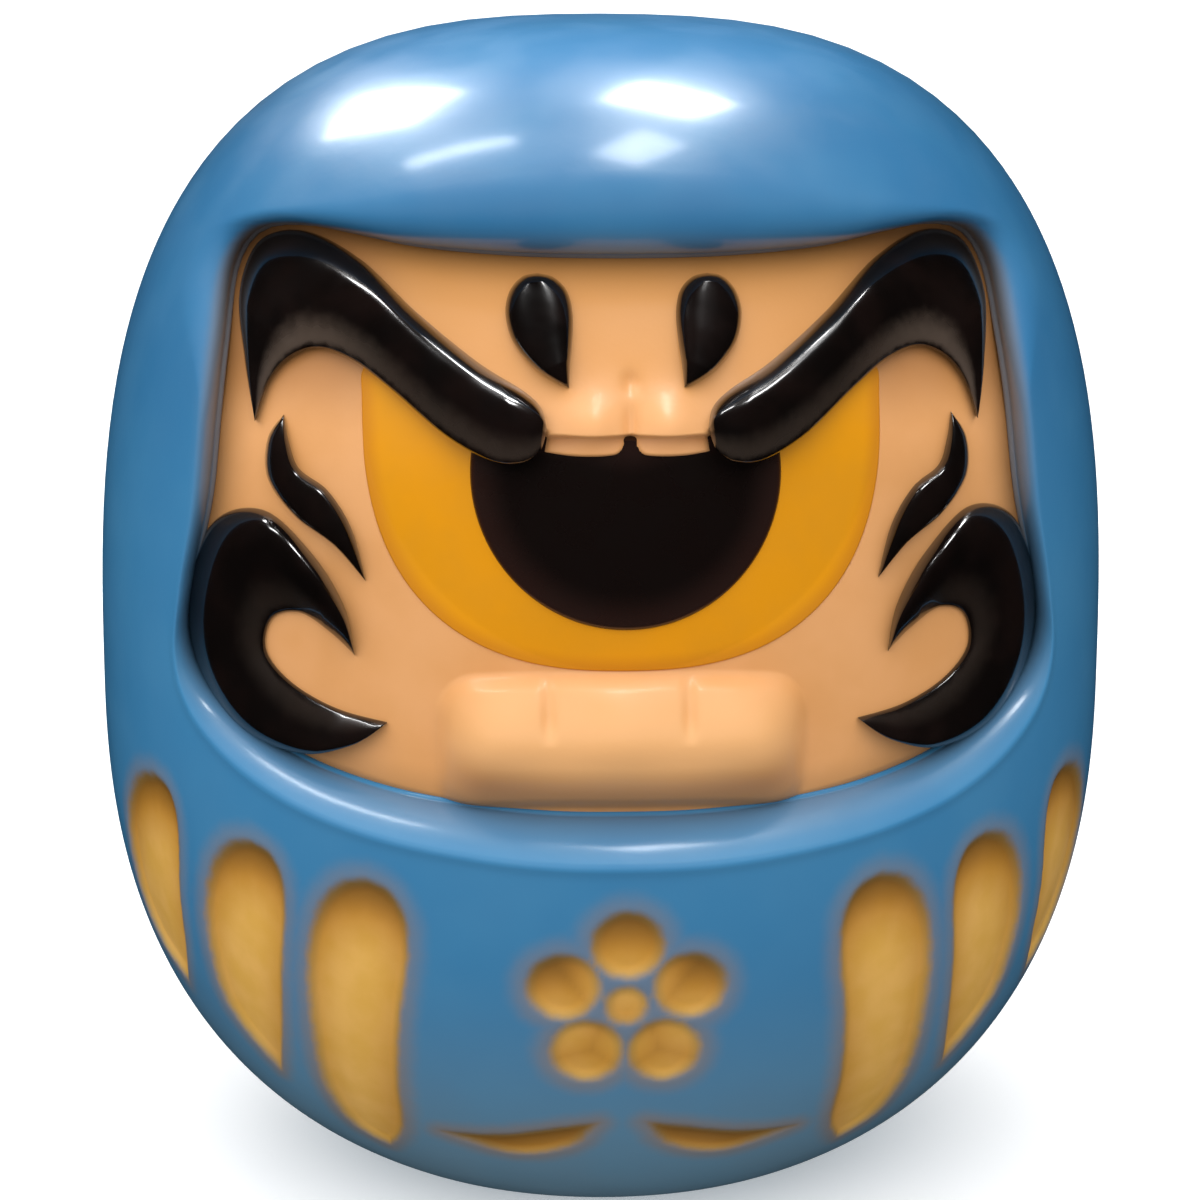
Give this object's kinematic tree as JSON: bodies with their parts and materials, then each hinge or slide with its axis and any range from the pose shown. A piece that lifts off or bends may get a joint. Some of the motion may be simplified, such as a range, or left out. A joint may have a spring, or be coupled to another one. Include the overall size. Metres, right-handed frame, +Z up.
{
  "type": "daruma doll",
  "caption": "Hollow hooded tumbler doll with a set-in face plate, glossy brow and whisker inserts, sunken gold marks and a pull-out base plug under its weight.",
  "frame": {"origin": "middle of the flat base, on the surface the doll stands on", "axes": "+Z up through the crown; the face looks along -Y; +X is the doll's left-hand side (to the right in a front view); the doll is symmetrical across the YZ plane apart from its two mouth creases"},
  "size_m": [0.1318, 0.1277, 0.15],
  "materials": {
    "blue_vinyl": "glossy sprayed blue, lighter on the hood",
    "flesh_vinyl": "satin sprayed flesh",
    "yellow_vinyl": "satin yellow",
    "black_gloss": "high gloss black",
    "plug_vinyl": "bare dark blue vinyl",
    "cast_weight": "raw casting"
  },
  "bodies": {
    "doll": {"body_shell": "blue_vinyl", "face_plate": "flesh_vinyl", "eye_dome": "yellow_vinyl", "pupil_disc": "black_gloss", "brow_left": "black_gloss", "brow_right": "black_gloss", "forehead_drop_left": "black_gloss", "forehead_drop_right": "black_gloss", "cheek_flick_left": "black_gloss", "cheek_flick_right": "black_gloss", "cheek_swirl_left": "black_gloss", "cheek_swirl_right": "black_gloss"},
    "base": {"base_plug": "plug_vinyl", "counterweight": "cast_weight"}
  },
  "joints": [
    {"name": "plug_slide", "type": "slide", "parent": "doll", "child": "base", "axis": [0, 0, 1], "range_m": [-0.014, 0]}
  ]
}
